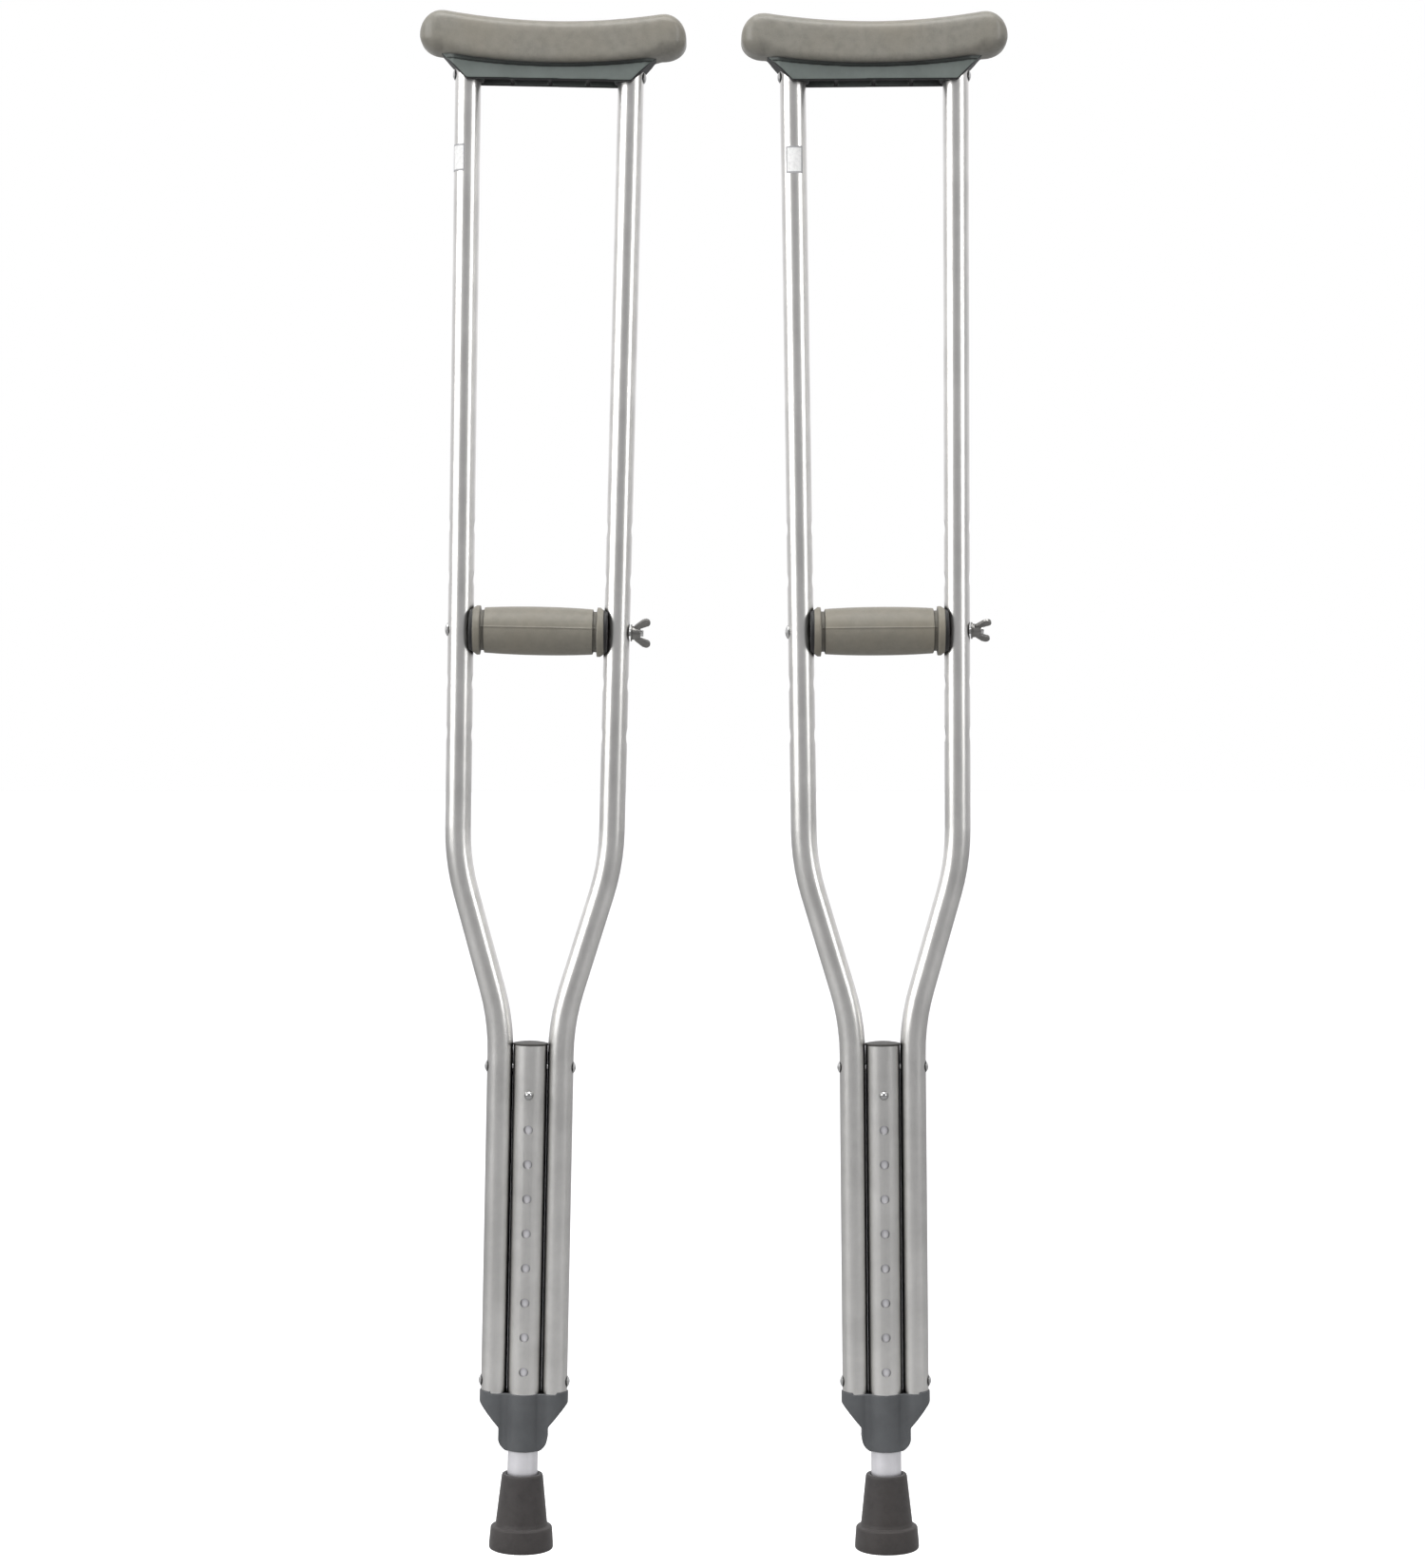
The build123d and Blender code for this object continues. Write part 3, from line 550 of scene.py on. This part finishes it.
def underarm_pad(side):
    """The pad: a saddle with a crowned top, rolled ends and a lower edge that tucks in."""
    points = []
    for station in range(PAD_STATIONS + 1):
        x = PAD_LENGTH * math.sin(math.pi / 2 * (2 * station / PAD_STATIONS - 1))
        top, bottom, depth = pad_section(x)
        middle = (top + bottom) / 2
        half = max((top - bottom) / 2, PAD_THINNEST)
        ease = PAD_FLOOR_EASE * clamped((abs(x) / PAD_UNDER_X) ** 4)
        for step in range(PAD_AROUND):
            angle = 2 * math.pi * step / PAD_AROUND
            along, rise = math.cos(angle), math.sin(angle)
            power = PAD_CROWN_POWER if rise > 0 else PAD_FLOOR_POWER - ease
            flank_power = power + PAD_FLANK_POWER
            y = depth * math.copysign(abs(along) ** (2 / power), along)
            z = middle + half * math.copysign(abs(rise) ** (2 / flank_power), rise)
            swell = noise.noise(Vector((x, y, z)) * PAD_SWELL_SCALE)
            points.append((
                x + PAD_ASIDE[side],
                y * (1 + PAD_SWELL_DEPTH * swell),
                z + PAD_SWELL_HEIGHT * swell,
            ))
    faces = grid_faces(PAD_STATIONS + 1, PAD_AROUND)
    faces.append(tuple(range(PAD_AROUND)))
    last = PAD_STATIONS * PAD_AROUND
    faces.append(tuple(range(last, last + PAD_AROUND)))
    piece = new_piece("underarm_pad_foam", points, faces, side, "frame", smooth_angle=60)
    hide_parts(f"{side}_underarm_pad")
    dress(piece, PAD)


# ---------------------------------------------------------------- underarm bracket
BRACKET_TAPER_X = 69.0  # where it starts to narrow
BRACKET_TAPER_LENGTH = 12.0
BRACKET_TAPER = 0.42  # the share of its depth lost at its ends
SEAM_DROP = 2.3  # how far below the pad's lower edge the recess under the pad reaches
SEAM_BLEND = 0.6  # over how much it fades out
SEAM_DEPTH = 0.15  # as a share of the bracket's depth


def bracket_shape(point):
    """Draws the bracket in towards its ends and just below the pad's edge."""
    share = clamped((abs(point.x) - BRACKET_TAPER_X) / BRACKET_TAPER_LENGTH)
    point.y *= 1 - BRACKET_TAPER * share * share * (3 - 2 * share)
    below_pad = pad_section(min(abs(point.x), PAD_UNDER_X))[1] - point.z
    point.y *= 1 - SEAM_DEPTH * clamped((SEAM_DROP + SEAM_BLEND - below_pad) / SEAM_BLEND)
    return point


def underarm_bracket(side):
    """The bracket under the pad."""
    piece = softened_copy(side, "underarm_bracket", "frame", voxel=0.7, rounds=4)
    reshape(piece, side, bracket_shape)
    dress(piece, BRACKET)


# ---------------------------------------------------------------- hand grip
GRIP_HALF = 50.9
GRIP_RIM_R = 18.2
GRIP_RIM_START = 42.6
GRIP_RIM_END = 48.0  # beyond it the saddle's lip is a little thinner
GRIP_LIP_R = 17.2
GRIP_LIP_STEP = 0.2
GRIP_LIP_TAPER = 0.3
GRIP_END_R = 16.8
GRIP_GROOVE_R = 15.0
GRIP_GROOVE_WIDTH = 2.8
GRIP_GROOVE_SLOPE = 0.7
GRIP_MID_R = 18.0
GRIP_CROWN_POWER = 2.2  # of the barrel's swell; 2 would be a parabola
GRIP_BORE_R = 10.05
GRIP_SKIN = 1  # points less than this off the bore belong to the bore
GRIP_BARREL_STEPS = 48
GRIP_SEGMENTS = 192
MOULD_LINE_UP = 2.2  # how far above the grip's axis its mould line lies
MOULD_LINE_HALF = 0.45
MOULD_LINE_HEIGHT = 0.4
UNDERSIDE_STEP = 0.2  # the half below the line is this much smaller
BOW_R = 9.525
SADDLE_GAP = 0.8
BOW_AT_GRIP_X = 57.62  # half spacing of the bows at the grip


def grip_profile():
    """(radius, x) down the outside of the grip and back through its bore."""
    barrel = []
    barrel_half = GRIP_RIM_START - GRIP_GROOVE_WIDTH
    for step in range(GRIP_BARREL_STEPS + 1):
        share = 2 * step / GRIP_BARREL_STEPS - 1
        crown = 1 - abs(share) ** GRIP_CROWN_POWER
        barrel.append((GRIP_END_R + (GRIP_MID_R - GRIP_END_R) * crown, share * barrel_half))
    end = rounded([
        (GRIP_END_R, barrel_half, 0),
        (GRIP_GROOVE_R, barrel_half + GRIP_GROOVE_SLOPE, 0.3),
        (GRIP_GROOVE_R, GRIP_RIM_START, 0.4),
        (GRIP_RIM_R, GRIP_RIM_START + GRIP_GROOVE_SLOPE, 0.9),
        (GRIP_RIM_R, GRIP_RIM_END, 0.8),
        (GRIP_LIP_R, GRIP_RIM_END + GRIP_LIP_STEP, 0.2),
        (GRIP_LIP_R - GRIP_LIP_TAPER, GRIP_HALF, 1.2),
        (GRIP_BORE_R, GRIP_HALF, 0.5),
        (GRIP_BORE_R, 0, 0),
    ], steps=6)
    right = end[1:-1]
    left = [(radius, -x) for radius, x in reversed(right)]
    return left + barrel + right


def saddle_x(across):
    """How far out the grip's end reaches at a depth of across, where it straddles a bow."""
    reach = BOW_R + SADDLE_GAP
    if abs(across) < reach:
        return min(GRIP_HALF, BOW_AT_GRIP_X - math.sqrt(reach**2 - across**2))
    return GRIP_HALF


def grip_warp(point):
    """Shapes the saddles that straddle the bows, and the mould line along the barrel."""
    along = point.z
    if abs(point.z) > GRIP_RIM_START:
        squeeze = (saddle_x(point.x) - GRIP_RIM_START) / (GRIP_HALF - GRIP_RIM_START)
        beyond = (abs(point.z) - GRIP_RIM_START) * squeeze
        along = math.copysign(GRIP_RIM_START + beyond, point.z)
    radius = math.hypot(point.x, point.y)
    grow = 0.0
    if radius > GRIP_BORE_R + GRIP_SKIN and abs(point.z) < GRIP_RIM_START:
        above = (point.y - MOULD_LINE_UP) / MOULD_LINE_HALF
        grow += MOULD_LINE_HEIGHT * math.exp(-(above**2))
        grow -= UNDERSIDE_STEP * clamped(0.5 - above)
    scale = 1 + grow / radius
    return Vector((point.x * scale, point.y * scale, along))


def grip_sleeve(side):
    """The hand grip: a barrel with rolled rims that straddle the bows, and a mould line."""
    points, faces = turned(grip_profile(), GRIP_SEGMENTS, grip_warp)
    # the axis it was turned about now runs across the crutch, at the height of the hand hold
    to_grip = Matrix(((0, 0, 1, 0), (-1, 0, 0, 0), (0, 1, 0, GRIP_Z), (0, 0, 0, 1)))
    points = [to_grip @ point for point in points]
    piece = new_piece("grip_rubber", points, faces, side, "grip", smooth_angle=50)
    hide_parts(f"{side}_grip_sleeve")
    dress(piece, GRIP)


# ---------------------------------------------------------------- yoke
YOKE_TOP_Z = 117.0  # heights below it are drawn towards it
YOKE_HEIGHT_SCALE = 0.9


def yoke_shape(point):
    """Ends the yoke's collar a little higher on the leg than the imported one."""
    if point.z < YOKE_TOP_Z:
        point.z = YOKE_TOP_Z - (YOKE_TOP_Z - point.z) * YOKE_HEIGHT_SCALE
    return point


def yoke(side):
    """The yoke at the foot of the bows."""
    piece = softened_copy(side, "yoke", "frame", voxel=0.6, rounds=4)
    reshape(piece, side, yoke_shape)
    dress(piece, YOKE)


# ---------------------------------------------------------------- rubber tip
TIP_BORE_R = 11.15
TIP_BORE_FLOOR_Z = 7.4
TIP_HEIGHT = 55.2
TIP_LIP = 0.8
TIP_AXIS_R = 0.05  # a pinhole too fine to see, so that no turned face collapses
TIP_GROOVES = ((7.2, 9.8), (12.6, 15.2), (18.0, 20.4))  # inner and outer radii in the sole
TIP_GROOVE_DEPTH = 1.2
TIP_GROOVE_SLOPE = 0.2
TIP_GROOVE_ROUNDING = 0.3
TIP_SEGMENTS = 128


def rubber_tip(side):
    """The ferrule, with a rolled lip, a stepped foot and a ringed sole."""
    # (radius, height, rounding) up the outside, down the bore, to the axis and along the sole
    corners = [
        (23.75, 0.0, 1.8), (23.55, 5.0, 4.0), (22.6, 16.6, 1.6), (19.6, 17.6, 1.0),
        (18.9, 20.0, 3.0), (15.25, 53.6, 1.6), (14.7, TIP_HEIGHT, 0.8),
        (TIP_BORE_R + TIP_LIP, TIP_HEIGHT, 0.8), (TIP_BORE_R, 53.8, 0.6),
        (TIP_BORE_R, TIP_BORE_FLOOR_Z, 0.3), (TIP_AXIS_R, TIP_BORE_FLOOR_Z, 0),
        (TIP_AXIS_R, 0, 0),
    ]
    for inner, outer in TIP_GROOVES:
        corners += [
            (inner, 0.0, TIP_GROOVE_ROUNDING),
            (inner + TIP_GROOVE_SLOPE, TIP_GROOVE_DEPTH, TIP_GROOVE_ROUNDING),
            (outer - TIP_GROOVE_SLOPE, TIP_GROOVE_DEPTH, TIP_GROOVE_ROUNDING),
            (outer, 0.0, TIP_GROOVE_ROUNDING),
        ]
    points, faces = turned(rounded(corners, steps=5), TIP_SEGMENTS)
    piece = new_piece("rubber_tip_moulded", points, faces, side, "leg", smooth_angle=35)
    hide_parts(f"{side}_rubber_tip")
    dress(piece, TIP)


# ---------------------------------------------------------------- wing nut
def wing_nut(side):
    """The cast wing nut."""
    nut = softened_copy(side, "wing_nut", "nut", voxel=0.25, rounds=5)
    dress(nut, ZINC)


# ---------------------------------------------------------------- floor, light and camera
FLOOR_Z = -0.2036  # just under the tips at the legs' longest setting
FLOOR_SIZE = 60
FLOOR_BOUNCE = (0.43, 0.43, 0.43)  # its tone for all but the camera
FLOOR_GLOW = 0.62  # what makes it white to the camera
SURROUND_TINT = (0.98, 0.98, 1.0, 1.0)
SURROUND_FRONT = 0.40  # brightness of what the parts reflect from the camera's side
SURROUND_BACK = 1.0
CAMERA_DISTANCE = 2.46
CAMERA_HEIGHT = 0.620
CAMERA_ASIDE = 0.0063  # to the right of the middle of the two feet
CAMERA_LENS = 76.6
CAMERA_SHIFT = -0.0488


def floor():
    """A plane that looks white and that lights the parts softly from below."""
    bpy.ops.mesh.primitive_plane_add(size=FLOOR_SIZE, location=(0, 0, FLOOR_Z))
    plane = bpy.context.object
    plane.name = "floor"
    look = Look("floor_pale")
    seen = look.add("ShaderNodeLightPath").outputs["Is Camera Ray"]
    grain = look.noise(3.0, detail=2.0)
    pale = look.ramp(grain, (0.4, 0.88), (0.6, 0.90))
    glow = look.levels(seen, 0.0, FLOOR_GLOW)
    look.set(Base_Color=look.mixed(seen, FLOOR_BOUNCE, pale), Roughness=0.8)
    look.set(Emission_Color=(1.0, 1.0, 1.0), Emission_Strength=glow)
    dress(plane, look.material)


def backdrop():
    """White to the camera; what the metal reflects is darker in front than behind."""
    world = bpy.data.worlds.new("surround")
    bpy.context.scene.world = world
    world.use_nodes = True
    nodes = Nodes(world.node_tree)
    nodes.tree.nodes.clear()
    white = nodes.add("ShaderNodeBackground")
    white.inputs["Color"].default_value = (1.0, 1.0, 1.0, 1.0)
    depth = nodes.part(nodes.add("ShaderNodeTexCoord").outputs["Generated"], "Y")
    shaded = nodes.add("ShaderNodeBackground")
    shaded.inputs["Color"].default_value = SURROUND_TINT
    strength = nodes.levels(depth, SURROUND_FRONT, SURROUND_BACK, start=-0.2, end=0.9)
    nodes.link(strength, shaded.inputs["Strength"])
    mix = nodes.add("ShaderNodeMixShader")
    nodes.link(nodes.add("ShaderNodeLightPath").outputs["Is Camera Ray"], mix.inputs[0])
    nodes.link(shaded.outputs[0], mix.inputs[1])
    nodes.link(white.outputs[0], mix.inputs[2])
    nodes.link(mix.outputs[0], nodes.add("ShaderNodeOutputWorld").inputs["Surface"])


def camera():
    """Level, in front of the pair, a little below the hand grips."""
    feet = [Vector(MOUNTS[f"{side}_tip_sole"]["pos_m"]).x for side in SIDES]
    data = bpy.data.cameras.new("camera")
    data.sensor_width = 36.0
    data.lens = CAMERA_LENS
    data.shift_y = CAMERA_SHIFT
    view = bpy.data.objects.new("camera", data)
    view.location = (sum(feet) / 2 + CAMERA_ASIDE, -CAMERA_DISTANCE, CAMERA_HEIGHT)
    view.rotation_euler = (math.pi / 2, 0, 0)
    bpy.context.scene.collection.objects.link(view)
    bpy.context.scene.camera = view


def softbox(name, place, aim, width, height, power):
    """A rectangular area lamp at a place, aimed at a point; its power is in watts."""
    data = bpy.data.lights.new(name, "AREA")
    data.shape = "RECTANGLE"
    data.size = width
    data.size_y = height
    data.energy = power
    lamp = bpy.data.objects.new(name, data)
    lamp.location = place
    lamp.rotation_mode = "QUATERNION"
    lamp.rotation_quaternion = (Vector(aim) - Vector(place)).to_track_quat("-Z", "Y")
    bpy.context.scene.collection.objects.link(lamp)


floor()
backdrop()
camera()
softbox("key", (-2.2, -1.2, 1.5), aim=(0, 0, 0.9), width=1.7, height=1.7, power=40.0)
softbox("fill", (2.0, -1.4, 1.5), aim=(0, 0, 0.9), width=0.7, height=1.7, power=15.0)
softbox("top", (0.0, -0.7, 2.9), aim=(0, 0, 0.8), width=2.2, height=1.2, power=44.0)
bpy.context.scene.view_settings.view_transform = "Standard"
bpy.context.scene.view_settings.look = "None"

for side in SIDES:
    for node, material in NODE_MATERIALS.items():
        dress(frame["nodes"][f"{side}_{node}"], material)
    underarm_pad(side)
    underarm_bracket(side)
    grip_sleeve(side)
    rubber_tip(side)
    yoke(side)
    wing_nut(side)
